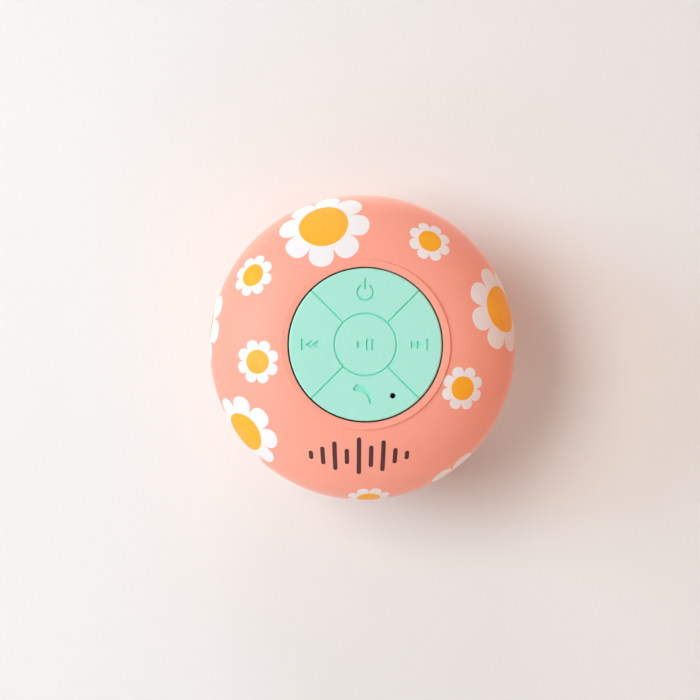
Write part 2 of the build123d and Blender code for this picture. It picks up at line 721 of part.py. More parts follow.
ROLL_CENTRE = 17.6
ROLL_RADIUS = 0.95
with BuildPart() as speaker_surround:
    with BuildSketch(SECTION):
        with Locations((ROLL_CENTRE, FLANGE)):
            Circle(ROLL_RADIUS)
            Circle(ROLL_RADIUS - FILM, mode=Mode.SUBTRACT)
        with Locations((ROLL_CENTRE, FLANGE)):
            Rectangle(3, 2, align=(Align.CENTER, Align.MIN), mode=Mode.SUBTRACT)
        with Locations((ROLL_CENTRE - ROLL_RADIUS, FLANGE)):
            Rectangle(FILM, 0.85, align=(Align.MIN, Align.MIN))
        with Locations((ROLL_CENTRE + ROLL_RADIUS - FILM, FLANGE)):
            Rectangle(1.65, FILM, align=(Align.MIN, Align.MAX))
    revolve(axis=Axis.Y)
save(speaker_surround.part, "speaker_surround")

SPIDER_WAVE = 0.35
SPIDER_RADII = (6.35, 7.6, 8.5, 9.5, 10.5, 11.5, 12.4, 14.2)
SPIDER_RISES = (0, 0, 1, -1, 1, -1, 0, 0)
with BuildPart() as speaker_spider:
    front_side = [
        (radius, SPIDER_SEAT + SPIDER_WAVE * rise) for radius, rise in zip(SPIDER_RADII, SPIDER_RISES)
    ]
    back_side = [(radius, distance - FILM) for radius, distance in reversed(front_side)]
    turned(*front_side, *back_side)
save(speaker_spider.part, "speaker_spider")

TERMINAL_X = (18.9, 19.9)
LUG_THICKNESS = 0.3
LUG_Z = (-2.0, 2.0)
with BuildPart() as speaker_terminals:
    block([(sum(TERMINAL_X) / 2, 0)], 1.0, 8.0, FLANGE_FRONT, 26.2)
    lug_places = [(TERMINAL_X[1] + LUG_THICKNESS / 2, z) for z in LUG_Z]
    block(lug_places, LUG_THICKNESS, 1.6, FLANGE_FRONT + 1, 25.4)
save(speaker_terminals.part, "speaker_terminals")

# --- Charging port: board, socket and silicone cover ------------------------------------------------
CHARGE_BOARD_Y = (-2.3, -1.3)
with BuildPart() as charge_board:
    port_box((-9, 9), CHARGE_BOARD_Y, (PORT_FLOOR + 0.2, 14.4))
    for x in LUG_PLACES:
        port_bar(x, BOARD_SCREW_DEPTH, SPEAKER_SHANK + 0.2, CHARGE_BOARD_Y, Mode.SUBTRACT)
save(charge_board.part, "charge_board")

with BuildPart() as charge_socket:
    port_box((-3.75, 3.75), (-1.3, 1.3), (PORT_FLOOR + 0.05, 10.7), corner=0.8)
    port_box((-3.45, 3.45), (-1.0, 1.0), (PORT_FLOOR, 10.0), corner=0.55, mode=Mode.SUBTRACT)
    port_box((-1.8, 1.8), (-0.3, 0.3), (PORT_FLOOR + 0.5, 10.2))
save(charge_socket.part, "charge_socket")

with BuildPart() as charge_controller:
    port_box((-4.5, -1.5), (CHARGE_BOARD_Y[1], -0.4), (11.2, 14.2))
save(charge_controller.part, "charge_controller")

with BuildPart() as charge_board_screws:
    for x in LUG_PLACES:
        port_bar(x, BOARD_SCREW_DEPTH, SPEAKER_SHANK, (-4.6, CHARGE_BOARD_Y[1]))
        port_bar(x, BOARD_SCREW_DEPTH, 1.5, (CHARGE_BOARD_Y[1], -0.4))
save(charge_board_screws.part, "charge_board_screws")

COVER_Y = (RECESS_Y[0] + 0.25, RECESS_Y[1] - 0.25)
BEAD_RADIUS = 0.8
with BuildPart() as port_cover:
    port_box((-4.6, RECESS_X[1] - 0.25), COVER_Y, (-1, RECESS_DEPTH - 0.05), corner=1.0)
    keep_inside(0)
    fillet(port_cover.faces().sort_by(SortBy.AREA)[-1].edges(), 0.25)
    port_box((HINGE_X, -3.0), COVER_Y, (HINGE_DEPTH - BEAD_RADIUS, RECESS_DEPTH - 0.1))
    port_bar(HINGE_X, HINGE_DEPTH, BEAD_RADIUS, COVER_Y)
    port_bar(HINGE_X, HINGE_DEPTH, TRUNNION_RADIUS, (-4.9, 4.9))
    port_box((-3.9, 3.9), (-1.35, 1.35), (RECESS_DEPTH - 0.2, 4.3), corner=0.9)
save(port_cover.part, "port_cover")


# --- Wires inside the housing -----------------------------------------------------------------------
def wire(*corners, radius=0.4, bend=0.9):
    """A round wire along straight runs, its corners rounded by bend."""
    with BuildLine() as route:
        FilletPolyline(*corners, radius=bend)
    with BuildSketch(Plane(origin=route.line @ 0, z_dir=route.line % 0)) as section:
        Circle(radius)
    sweep(section.sketch, path=route.line)


with BuildPart() as speaker_wires:
    for z in LUG_Z:
        wire(
            (TERMINAL_X[1] + LUG_THICKNESS, -24.0, z),
            (22.6, -24.0, z),
            (22.6, -38.5, z),
            (SPEAKER_PLUG[0], -40.6, z),
            (SPEAKER_PLUG[0], -CONNECTOR_TOP, z),
        )
save(speaker_wires.part, "speaker_wires")

with BuildPart() as battery_wires:
    for x in (BATTERY_PLUG[0] - 0.9, BATTERY_PLUG[0] + 0.9):
        wire(
            (x, -44.3, -BATTERY_SIZE[1] / 2),
            (x, -44.3, -14.4),
            (x, -40.4, -14.4),
            (x, -40.4, BATTERY_PLUG[1]),
            (x, -CONNECTOR_TOP, BATTERY_PLUG[1]),
        )
save(battery_wires.part, "battery_wires")

with BuildPart() as charge_wires:
    for x in (CHARGE_PLUG[0] - 0.9, CHARGE_PLUG[0] + 0.9):
        wire(
            PORT.from_local_coords((x, CHARGE_BOARD_Y[1], -13.0)),
            PORT.from_local_coords((x, 0.8, -13.0)),
            (x, -37.0, -23.0),
            (x, -40.4, CHARGE_PLUG[1]),
            (x, -CONNECTOR_TOP, CHARGE_PLUG[1]),
        )
save(charge_wires.part, "charge_wires")
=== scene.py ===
from math import cos, pi, radians, sin

import bmesh
import bpy
import numpy as np
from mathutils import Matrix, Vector


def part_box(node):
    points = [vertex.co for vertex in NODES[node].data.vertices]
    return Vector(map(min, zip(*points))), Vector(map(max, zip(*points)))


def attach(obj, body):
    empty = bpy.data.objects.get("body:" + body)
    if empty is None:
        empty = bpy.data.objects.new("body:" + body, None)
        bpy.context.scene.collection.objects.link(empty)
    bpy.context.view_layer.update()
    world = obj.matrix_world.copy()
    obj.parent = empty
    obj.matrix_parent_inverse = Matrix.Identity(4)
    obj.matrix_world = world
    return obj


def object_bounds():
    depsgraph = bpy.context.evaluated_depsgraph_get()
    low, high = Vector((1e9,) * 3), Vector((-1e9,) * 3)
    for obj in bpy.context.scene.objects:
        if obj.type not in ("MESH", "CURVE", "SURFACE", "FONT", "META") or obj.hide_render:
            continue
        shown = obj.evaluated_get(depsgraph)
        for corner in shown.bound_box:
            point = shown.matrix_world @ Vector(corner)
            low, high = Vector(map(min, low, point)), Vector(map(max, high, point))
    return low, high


# The looks of a round shower speaker on a suction cup: the finish of every part, the daisies and the
# sound mark printed on the housing, the wall it hangs on, the lights and the camera.
# Metres, as in the frame. Lengths written in millimetres are multiplied by MM. The keypad faces -Y.
# "Distance" is the distance from the wall, along -Y.

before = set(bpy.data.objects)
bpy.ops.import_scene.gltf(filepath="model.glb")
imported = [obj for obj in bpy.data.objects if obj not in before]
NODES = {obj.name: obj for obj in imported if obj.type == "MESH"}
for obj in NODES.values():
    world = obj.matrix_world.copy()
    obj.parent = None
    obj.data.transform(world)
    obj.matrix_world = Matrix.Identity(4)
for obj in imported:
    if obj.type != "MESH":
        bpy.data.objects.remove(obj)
cad_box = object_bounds()
MM = 0.001

# --- The housing's outer surface: two quarter ellipses turned about the Y axis ---------------------
BODY_RADIUS = (cad_box[1].x - cad_box[0].x) / 2
SEAM = 31.0 * MM
WIDEST = 36.5 * MM
FRONT_CENTRE = 20.0 * MM
FRONT_BULGE = 17.9 * MM
BACK_CENTRE = 29.0 * MM
BACK_BULGE = 19.5 * MM
SETTLING_STEPS = 4
WALK_STEPS = 2


def ellipses(distance):
    """The centre radius, half width and half height of the ellipse at these distances."""
    front = distance > WIDEST
    centre = np.where(front, FRONT_CENTRE, BACK_CENTRE)
    return centre, BODY_RADIUS - centre, np.where(front, FRONT_BULGE, BACK_BULGE)


def onto_surface(points):
    """Moves points, one a row, onto the housing's outer surface. Returns them and the surface's normals."""
    for _ in range(SETTLING_STEPS):
        radius = np.hypot(points[:, 0], points[:, 2])
        centre, half_width, half_height = ellipses(-points[:, 1])
        across = (radius - centre) / half_width
        along = (-points[:, 1] - WIDEST) / half_height
        slope = np.stack([across / half_width, along / half_height], axis=1)
        miss = (across**2 + along**2 - 1) / 2
        step = slope * (miss / (slope**2).sum(axis=1))[:, None]
        outwards = points * [1, 0, 1] / radius[:, None]
        points = points - outwards * step[:, :1] + np.outer(step[:, 1], [0, 1, 0])
    normals = outwards * slope[:, :1] - np.outer(slope[:, 1], [0, 1, 0])
    return points, normals / np.linalg.norm(normals, axis=1)[:, None]


def place_at(angle, distance):
    """The point of the surface at this angle about the axis, from +X towards +Z, and distance."""
    centre, half_width, half_height = ellipses(distance)
    radius = centre + half_width * np.sqrt(1 - ((distance - WIDEST) / half_height) ** 2)
    return np.array([radius * cos(angle), -distance, radius * sin(angle)])


def walk(start, forwards, angles, reaches):
    """Follows the surface from start. An angle of 0 goes forwards, and angles grow counter-clockwise
    as seen from outside. reaches has a row of path lengths for each stop, one for each angle.
    Returns the points and normals at each stop."""
    point, normal = onto_surface(np.array([start]))
    forwards = forwards - (normal @ forwards) * normal[0]
    forwards = forwards / np.linalg.norm(forwards)
    sideways = np.cross(normal[0], forwards)
    headings = np.outer(np.cos(angles), forwards) + np.outer(np.sin(angles), sideways)
    points = np.repeat(point, len(angles), axis=0)
    normals = np.repeat(normal, len(angles), axis=0)
    gone = np.zeros(len(angles))
    stops = []
    for reach in reaches:
        for _ in range(WALK_STEPS):
            headings = headings - (headings * normals).sum(axis=1)[:, None] * normals
            headings = headings / np.linalg.norm(headings, axis=1)[:, None]
            points = points + headings * ((reach - gone) / WALK_STEPS)[:, None]
            points, normals = onto_surface(points)
        gone = reach
        stops.append((points, normals))
    return stops


# --- Printed ink: thin closed films that follow the surface -----------------------------------------
INK_TOP = 0.03 * MM
INK_FOOT = -0.05 * MM
SEAM_GAP = 0.16 * MM
RINGS = 6
WELD = 0.001 * MM
SHARPEST_SMOOTH = radians(40)


class Film:
    """A mesh of ink films, which grows by add and is made into an object by finish."""

    def __init__(self):
        self.points = []
        self.faces = []

    def add(self, start, forwards, outline, inside=0.0, lift=0.0):
        """A film round start, out to the outline and in to the distance inside. The outline's points
        are lengths along the surface: forwards, and to the left of that as seen from outside."""
        angles = np.arctan2(outline[:, 1], outline[:, 0])
        edge = np.hypot(outline[:, 0], outline[:, 1])
        shares = np.linspace(0, 1, RINGS + 1)
        stops = walk(start, forwards, angles, [inside + (edge - inside) * share for share in shares])
        base = len(self.points)
        for height in (INK_TOP + lift, INK_FOOT):
            for points, normals in stops:
                self.points.extend(points + normals * height)
        count = len(angles)
        layer = len(stops) * count
        walls = [RINGS] if inside == 0.0 else [RINGS, 0]
        for step in range(count):
            after = (step + 1) % count
            for ring in range(RINGS):
                near, far = base + ring * count, base + (ring + 1) * count
                quad = (near + step, far + step, far + after, near + after)
                self.faces.append(quad)
                self.faces.append(tuple(corner + layer for corner in reversed(quad)))
            for ring in walls:
                rim = base + ring * count
                self.faces.append((rim + step, rim + after, rim + after + layer, rim + step + layer))

    def finish(self, name, material):
        """The film as an object on the housing, parted along the seam between the shells."""
        mesh = bpy.data.meshes.new(name)
        mesh.from_pydata([tuple(point) for point in self.points], [], self.faces)
        solid = bmesh.new()
        solid.from_mesh(mesh)
        bmesh.ops.remove_doubles(solid, verts=solid.verts, dist=WELD)
        rear = solid.copy()
        for half, distance, side in ((solid, SEAM + SEAM_GAP, 1), (rear, SEAM - SEAM_GAP, -1)):
            cut = bmesh.ops.bisect_plane(
                half,
                geom=half.verts[:] + half.edges[:] + half.faces[:],
                plane_co=(0, -distance, 0),
                plane_no=(0, side, 0),
                clear_outer=True,
            )
            rim = [item for item in cut["geom_cut"] if isinstance(item, bmesh.types.BMEdge)]
            bmesh.ops.holes_fill(half, edges=rim)
        part = bpy.data.meshes.new(name)
        rear.to_mesh(part)
        solid.from_mesh(part)
        bmesh.ops.recalc_face_normals(solid, faces=solid.faces)
        solid.to_mesh(mesh)
        solid.free()
        rear.free()
        bpy.data.meshes.remove(part)
        mesh.shade_smooth()
        mesh.set_sharp_from_angle(angle=SHARPEST_SMOOTH)
        mesh.materials.append(material)
        film = bpy.data.objects.new(name, mesh)
        bpy.context.scene.collection.objects.link(film)
        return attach(film, "housing")


# --- Colours and finishes ---------------------------------------------------------------------------
def colour(red, green, blue):
    """A colour given as 0 to 255 on a screen, as the shader's linear RGBA."""
    shares = (red / 255, green / 255, blue / 255)
    linear = [x / 12.92 if x <= 0.04045 else ((x + 0.055) / 1.055) ** 2.4 for x in shares]
    return (*linear, 1.0)


def shade(rgba, factor):
    """The colour made darker or lighter by a factor."""
    return (*(min(1.0, share * factor) for share in rgba[:3]), 1.0)


# Most of a noise's values lie between these.
NOISE_RANGE = (0.3, 0.7)


class Finish:
    """One material: its Principled shader, and short ways to make the nodes that feed it."""

    def __init__(self, name, sockets=None):
        self.material = bpy.data.materials.new(name)
        self.material.use_nodes = True
        self.nodes = self.material.node_tree.nodes
        self.shader = self.nodes["Principled BSDF"]
        self.place = self.nodes.new("ShaderNodeTexCoord").outputs["Object"]
        for socket, value in (sockets or {}).items():
            self.shader.inputs[socket].default_value = value

    def feed(self, kind, inputs, **settings):
        """A new node of this kind, its inputs set to values or linked to outputs."""
        node = self.nodes.new(f"ShaderNode{kind}")
        for setting, value in settings.items():
            setattr(node, setting, value)
        for socket, value in inputs.items():
            if isinstance(value, bpy.types.NodeSocket):
                self.material.node_tree.links.new(value, node.inputs[socket])
            else:
                node.inputs[socket].default_value = value
        return node

    def noise(self, size, detail=2.0):
        """Soft random values from 0 to 1, with features of about this size."""
        inputs = {"Vector": self.place, "Scale": 1 / size, "Detail": detail}
        return self.feed("TexNoise", inputs).outputs["Fac"]

    def cells(self, size):
        """The distance to the middle of the nearest of random cells of about this size."""
        inputs = {"Vector": self.place, "Scale": 1 / size}
        return self.feed("TexVoronoi", inputs).outputs["Distance"]

    def bands(self, size, axis):
        """Waves from 0 to 1 along an axis, one for each size."""
        inputs = {"Vector": self.place, "Scale": pi / 10 / size}
        return self.feed("TexWave", inputs, bands_direction=axis).outputs["Fac"]

    def along(self, axis):
        """The place along X, Y or Z, in metres."""
        return self.feed("SeparateXYZ", {"Vector": self.place}).outputs[axis]

    def off_axis(self):
        """The distance from the speaker's axis."""
        flat = self.feed("VectorMath", {0: self.place, 1: (1, 0, 1)}, operation="MULTIPLY")
        length = self.feed("VectorMath", {0: flat.outputs["Vector"]}, operation="LENGTH")
        return length.outputs["Value"]

    def span(self, value, low, high, start=0.0, end=1.0):
        """Maps value from low..high to start..end, and holds it there outside."""
        inputs = {"Value": value, "From Min": low, "From Max": high, "To Min": start, "To Max": end}
        return self.feed("MapRange", inputs).outputs["Result"]

    def maths(self, operation, first, second):
        """The sum, product or other operation of two values."""
        return self.feed("Math", {0: first, 1: second}, operation=operation).outputs[0]

    def blend(self, factor, first, second):
        """A colour between first and second."""
        inputs = {"Factor": factor, 6: first, 7: second}
        return self.feed("Mix", inputs, data_type="RGBA").outputs[2]

    def paint(self, source):
        """Sends a colour to the shader."""
        self.link(source, "Base Color")

    def gloss(self, value, low, high):
        """The roughness, between low and high with the value."""
        self.link(self.span(value, *NOISE_RANGE, low, high), "Roughness")

    def relief(self, *layers):
        """Bumps, each from a height of 0 to 1 and its depth in metres."""
        normal = None
        for height, depth in layers:
            inputs = {"Height": height, "Distance": depth}
            if normal:
                inputs["Normal"] = normal
            normal = self.feed("Bump", inputs).outputs["Normal"]
        self.link(normal, "Normal")

    def link(self, source, socket):
        """Sends a value, colour or direction to one of the shader's sockets."""
        self.material.node_tree.links.new(source, self.shader.inputs[socket])


SALMON = colour(250, 158, 136)
MINT = colour(168, 225, 206)
# The two deeper mints are painted shade: the saturated mint that shade takes in the engraved signs and
# grooves.
SIGN_SHADE_MINT = colour(140, 228, 203)
GROOVE_SHADE_MINT = colour(98, 248, 210)
PETAL_WHITE = colour(239, 227, 226)
CENTRE_YELLOW = colour(252, 179, 36)
CENTRE_ORANGE = colour(250, 156, 32)
MARK_BROWN = colour(82, 42, 40)

SOFT_COAT = {"Sheen Weight": 0.25, "Sheen Roughness": 0.4, "Specular IOR Level": 0.35}
RUBBERY = {"Subsurface Weight": 0.12, "Subsurface Scale": 0.6 * MM, "Specular IOR Level": 0.4}


def soft_coat(finish, low, high):
    """The fine, slightly uneven skin of soft-touch lacquer, and of ink printed on it."""
    finish.gloss(finish.noise(0.5 * MM), low, high)
    pebbles = finish.span(finish.cells(0.75 * MM), 0.0, 0.42, 1.0, 0.0)
    finish.relief((finish.noise(0.3 * MM), 0.008 * MM), (pebbles, 0.012 * MM))


def soft_touch(name, base):
    """Soft-touch lacquer on plastic, with a faint bloom at grazing angles."""
    finish = Finish(name, SOFT_COAT)
    finish.paint(finish.blend(finish.noise(14 * MM, 4), base, shade(base, 0.95)))
    soft_coat(finish, 0.46, 0.58)
    return finish.material


def ink(name, base, second=None):
    """Pad-printed ink, mottled with a second colour."""
    finish = Finish(name, {"Specular IOR Level": 0.35})
    finish.paint(finish.blend(finish.noise(4 * MM, 3), base, second or shade(base, 0.96)))
    soft_coat(finish, 0.42, 0.55)
    return finish.material


# The keys turn to the deeper mint, painted shade for the engraved signs and grooves, between these depths
# below their faces, and back to the light one between these distances from their outer edge.
SIGN_DEPTHS = (0.12 * MM, 0.28 * MM)
RIM_WIDTHS = (0.7 * MM, 0.5 * MM)


def mint_silicone(name):
    """Mint keys; a deeper mint below their faces paints the shade in signs and grooves, up to the rolled
    rim.
    """
    finish = Finish(name, RUBBERY)
    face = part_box("key_play_pause")[0].y
    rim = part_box("key_power")[1].z
    below = finish.span(finish.along("Y"), *(face + depth for depth in SIGN_DEPTHS))
    inwards = finish.span(finish.off_axis(), *(rim - width for width in RIM_WIDTHS), 1.0, 0.0)
    lit = finish.blend(finish.noise(6 * MM, 3), MINT, shade(MINT, 0.97))
    # Painted shade: the deeper mint below the faces stands in for the shade in the signs and grooves.
    finish.paint(finish.blend(finish.maths("MULTIPLY", below, inwards), lit, SIGN_SHADE_MINT))
    finish.gloss(finish.noise(0.6 * MM), 0.4, 0.52)
    finish.relief((finish.noise(0.18 * MM), 0.004 * MM))
    return finish.material


def silicone(name, base, low, high, grain=0.25 * MM, depth=0.004 * MM):
    """Moulded silicone with a smooth or wavy skin."""
    finish = Finish(name)
    finish.paint(finish.blend(finish.noise(12 * MM), base, shade(base, 0.95)))
    finish.gloss(finish.noise(4 * MM), low, high)
    finish.relief((finish.noise(grain), depth))
    return finish.material


def moulded(name, base, low=0.4, high=0.6, grain=0.3 * MM, depth=0.01 * MM):
    """Moulded or pressed stuff with a fine grain: plastic, epoxy, foam or paper."""
    finish = Finish(name)
    finish.paint(finish.blend(finish.noise(3 * MM, 4), base, shade(base, 0.82)))
    finish.gloss(finish.noise(0.8 * MM), low, high)
    finish.relief((finish.noise(grain, 3), depth))
    return finish.material


def metal(name, base, low=0.3, high=0.42, grain=0.15 * MM):
    """Bare or plated metal, or foil, a little tarnished."""
    finish = Finish(name, {"Metallic": 1.0})
    finish.paint(finish.blend(finish.noise(2 * MM, 4), base, shade(base, 0.85)))
    finish.gloss(finish.noise(0.4 * MM, 4), low, high)
    finish.relief((finish.noise(grain), 0.003 * MM))
    return finish.material


def cloth(name, base, pitch, axes, depth):
    """Cloth woven at this pitch along two axes."""
    finish = Finish(name, {"Sheen Weight": 0.15})
    weave = finish.maths("MULTIPLY", *(finish.bands(pitch, axis) for axis in axes))
    worn = finish.blend(finish.noise(3 * MM), base, shade(base, 0.8))
    finish.paint(finish.blend(weave, shade(base, 0.25), worn))
    finish.gloss(weave, 0.9, 0.65)
    finish.relief((weave, depth))
    return finish.material


def circuit_board(name):
    """Green solder mask over copper tracks."""
    finish = Finish(name)
    turned = finish.feed("Mapping", {"Vector": finish.place, "Rotation": (pi / 2, 0, 0)})
    layout = {"Vector": turned.outputs["Vector"], "Scale": 1 / (16 * MM), "Mortar Size": 0.012}
    tracks = finish.feed("TexBrick", layout).outputs["Fac"]
    mask = finish.blend(finish.noise(5 * MM), colour(20, 96, 58), colour(16, 80, 50))
    finish.paint(finish.blend(tracks, mask, colour(62, 142, 84)))
    finish.gloss(finish.noise(2 * MM), 0.3, 0.42)
    finish.relief((tracks, 0.02 * MM), (finish.noise(0.2 * MM), 0.004 * MM))
    return finish.material


def joined(name, axis, border, low_side, high_side):
    """Two stuffs in one piece, parted at a border along an axis: the colour, metallic share and
    roughness of each."""
    finish = Finish(name)
    side = finish.span(finish.along(axis), border - 0.01 * MM, border + 0.01 * MM)
    (low_colour, low_metal, low_rough), (high_colour, high_metal, high_rough) = low_side, high_side
    clean = finish.blend(side, low_colour, high_colour)
    worn = finish.blend(side, shade(low_colour, 0.85), shade(high_colour, 0.85))
    finish.paint(finish.blend(finish.noise(2 * MM, 4), clean, worn))
    if low_metal != high_metal:
        finish.link(finish.span(side, 0.0, 1.0, low_metal, high_metal), "Metallic")
    uneven = finish.span(finish.noise(0.8 * MM), *NOISE_RANGE, -0.06, 0.06)
    base = finish.span(side, 0.0, 1.0, low_rough, high_rough)
    finish.link(finish.maths("ADD", base, uneven), "Roughness")
    finish.relief((finish.noise(0.2 * MM), 0.004 * MM))
    return finish.material


# The recipe of each material slot, and what it is made with.
RECIPES = {
    "shell_soft_touch": (soft_touch, SALMON),
    "mint_silicone": (mint_silicone,),
    "coral_silicone": (silicone, shade(SALMON, 0.96), 0.42, 0.55),
    "cup_silicone": (silicone, colour(246, 168, 150), 0.30, 0.38, 5 * MM, 0.05 * MM),
    "black_silicone": (silicone, colour(24, 21, 21), 0.5, 0.65),
    "black_plastic": (moulded, colour(38, 38, 40)),
    "screw_steel": (metal, colour(200, 200, 202)),
    "grille_fabric": (cloth, colour(74, 72, 74), 0.42 * MM, "XZ", 0.08 * MM),
    "circuit_board": (circuit_board,),
    "shield_metal": (metal, colour(214, 213, 208), 0.3, 0.5),
    "chip_plastic": (moulded, colour(44, 44, 46), 0.5, 0.65, 0.12 * MM),
    "capacitor_metal": (metal, colour(222, 223, 226)),
    "connector_plastic": (moulded, colour(236, 230, 212), 0.3, 0.42),
    "battery_wrap": (metal, colour(198, 202, 210), 0.3, 0.45, 1.2 * MM),
    "foam_tape": (moulded, colour(58, 58, 60), 0.8, 0.95, 0.2 * MM, 0.06 * MM),
    "speaker_steel": (moulded, colour(48, 48, 50), 0.3, 0.42),
    "zinc_plate": (metal, colour(206, 206, 196), 0.3, 0.42, 0.5 * MM),
    "ferrite": (moulded, colour(62, 62, 66), 0.45, 0.6, 0.1 * MM),
    "spider_cloth": (cloth, colour(206, 166, 92), 0.35 * MM, "XZ", 0.06 * MM),
    "terminal_board": (moulded, colour(158, 118, 74)),
    "cone_paper": (moulded, colour(54, 52, 52), 0.75, 0.9, 0.35 * MM, 0.03 * MM),
    "coil_former_film": (metal, colour(216, 216, 220)),
    "copper_wire": (metal, colour(200, 118, 70)),
}
FINISHES = {name: recipe(name, *values) for name, (recipe, *values) in RECIPES.items()}

BOARD_REAR = -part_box("main_board")[1].y
BLACK_WIRE = (colour(28, 27, 28), 0.0, 0.42)
RED_WIRE = (colour(188, 32, 30), 0.0, 0.42)
BLACK_BASE = (colour(34, 34, 36), 0.0, 0.55)
ALUMINIUM = (colour(222, 223, 226), 1.0, 0.36)
GREEN_BOARD = (colour(16, 84, 52), 0.0, 0.38)
SHIELD = (colour(214, 213, 208), 1.0, 0.38)
BROWN_BOARD = (colour(158, 118, 74), 0.0, 0.6)
TINNED = (colour(216, 214, 206), 1.0, 0.36)
# Nodes with a finish of their own: those made of two stuffs, and the mat, which is seen in the grooves
# and is painted in the deeper mint that stands for their shade.
NODE_FINISHES = {
    "keypad_mat": silicone("mat_silicone_groove_shade", GROOVE_SHADE_MINT, 0.4, 0.52),
    "speaker_wires": joined("speaker_wires", "Z", 0.0, BLACK_WIRE, RED_WIRE),
    "battery_wires": joined("battery_wires", "X", -4.5 * MM, BLACK_WIRE, RED_WIRE),
    "charge_wires": joined("charge_wires", "X", 4.5 * MM, BLACK_WIRE, RED_WIRE),
    "filter_capacitors": joined("filter_capacitors", "Y", 0.7 * MM - BOARD_REAR, BLACK_BASE, ALUMINIUM),
    "bluetooth_module": joined("bluetooth_module", "Y", 0.8 * MM - BOARD_REAR, GREEN_BOARD, SHIELD),
    "speaker_terminals": joined("speaker_terminals", "X", 19.9 * MM, BROWN_BOARD, TINNED),
}


def finish_nodes():
    """Gives every CAD node its finish: its own, or that of the slot that the record names for it."""
    for name, node in NODES.items():
        slots = node.data.materials
        for index, slot in enumerate(slots):
            slots[index] = NODE_FINISHES.get(name) or FINISHES[slot.name.split(".")[0]]


finish_nodes()

# --- Daisies ----------------------------------------------------------------------------------------
PETALS = 8
PETAL_SAMPLES = 20
CENTRE_LIFT = 0.012 * MM
NOTCH_SHARE = 0.55
PETAL_FLATNESS = 2.3
PETAL_FULLNESS = 0.42
PETAL_ROOT = 0.9
ROUND_SAMPLES = 72
LARGE, SMALL = 12.3 * MM, 6.1 * MM
CENTRE_SHARE = 0.54
# Each daisy: its reach, its angle about the axis, its distance and how far its petals are turned.
DAISIES = [
    (1.04 * LARGE, 109, 50.0, -21),
    (SMALL, 58, 50.8, 2),
    (SMALL, 148, 49.1, 13),
    (SMALL, 189, 52.7, 10),
    (SMALL, 336, 52.9, -2),
    (LARGE, 15, 45.4, 8),
    (0.9 * LARGE, 216, 44.0, 6),
    (LARGE, 171, 33.3, -16),
    (SMALL, 272, 40.9, 22),
    (LARGE, 306, 32.3, 22),
    (SMALL, 35, 26.0, 5),
    (SMALL, 60, 30.0, 18),
    (LARGE, 85, 25.0, -10),
    (SMALL, 108, 31.0, 12),
    (SMALL, 134, 27.0, 4),
    (SMALL, 203, 27.0, -8),
    (SMALL, 240, 26.0, 15),
    (LARGE, 345, 25.0, 0),
]
FORWARDS = np.array([0.0, -1.0, 0.0])


def round_outline(reach):
    """A circle."""
    turns = np.linspace(0, 2 * pi, ROUND_SAMPLES, endpoint=False)
    return reach * np.stack([np.cos(turns), np.sin(turns)], axis=1)


def petal_outline(reach, turn):
    """Eight rounded petals that meet in sharp notches, where the samples crowd."""
    across = -np.cos(np.linspace(0, pi, PETAL_SAMPLES, endpoint=False))
    fullness = (1 - np.abs(across) ** PETAL_FLATNESS) ** PETAL_FULLNESS
    edge = reach * (NOTCH_SHARE + (1 - NOTCH_SHARE) * fullness)
    turns = np.concatenate([pi / PETALS * (across + 2 * petal) for petal in range(PETALS)]) + turn
    return np.tile(edge, PETALS)[:, None] * np.stack([np.cos(turns), np.sin(turns)], axis=1)


petals = Film()
centres = Film()
for reach, angle, distance, turn in DAISIES:
    place = place_at(radians(angle), distance * MM)
    centre_reach = reach * CENTRE_SHARE
    petals.add(place, FORWARDS, petal_outline(reach, radians(turn)), inside=PETAL_ROOT * centre_reach)
    centres.add(place, FORWARDS, round_outline(centre_reach), lift=CENTRE_LIFT)
petals.finish("daisy_petals", ink("petal_ink", PETAL_WHITE))
centres.finish("daisy_centres", ink("centre_ink", CENTRE_YELLOW, CENTRE_ORANGE))

# --- Sound mark: a row of rounded bars under the keypad ---------------------------------------------
MARK_PLACE = np.array([-1.7, -52.4, -30.5]) * MM
UPWARDS = np.array([0.0, 0.0, 1.0])
BAR_HALF_WIDTH = 0.6 * MM
BAR_PITCH = 3.3 * MM
BAR_HEIGHTS = (2.6, 5.4, 8.6, 4.6, 11.0, 6.4, 9.2, 4.6, 2.6)


def bar_outline(height):
    """An upright bar with round ends."""
    straight = height / 2 - BAR_HALF_WIDTH
    bend = np.linspace(-pi / 2, pi / 2, 15)
    end = np.stack([straight + BAR_HALF_WIDTH * np.cos(bend), BAR_HALF_WIDTH * np.sin(bend)], axis=1)
    side = np.linspace(straight, -straight, 12)[1:-1]
    half = np.concatenate([end, np.stack([side, np.full(len(side), BAR_HALF_WIDTH)], axis=1)])
    return np.concatenate([half, -half])


mark = Film()
for index, height in enumerate(BAR_HEIGHTS):
    offset = (index - (len(BAR_HEIGHTS) - 1) / 2) * BAR_PITCH
    aside = np.array([-pi / 2 if offset > 0 else pi / 2])
    points, _ = walk(MARK_PLACE, UPWARDS, aside, [np.array([abs(offset)])] * 2)[0]
    mark.add(points[0], UPWARDS, bar_outline(height * MM))
mark.finish("sound_mark", ink("mark_ink", MARK_BROWN))

# --- Stage: a plain wall, seen from the room only, and a plain floor --------------------------------
WALL_GAP = 0.2 * MM
HALF_WALL = 0.75
HALF_FLOOR = 1.5
FLOOR = -0.5
FLOOR_GLOW = 0.5
BACKDROP = colour(226, 220, 216)
MATT_PAINT = {"Roughness": 0.9, "Specular IOR Level": 0.15}


def stage_plane(name, material, half_width, start, end):
    """A plane this far to each side, from start to end: each a place along Y and Z."""
    mesh = bpy.data.meshes.new(name)
    corners = [(-half_width, *start), (half_width, *start), (half_width, *end), (-half_width, *end)]
    mesh.from_pydata(corners, [], [(0, 1, 2, 3)])
    mesh.materials.append(material)
    plane = bpy.data.objects.new(name, mesh)
    bpy.context.scene.collection.objects.link(plane)


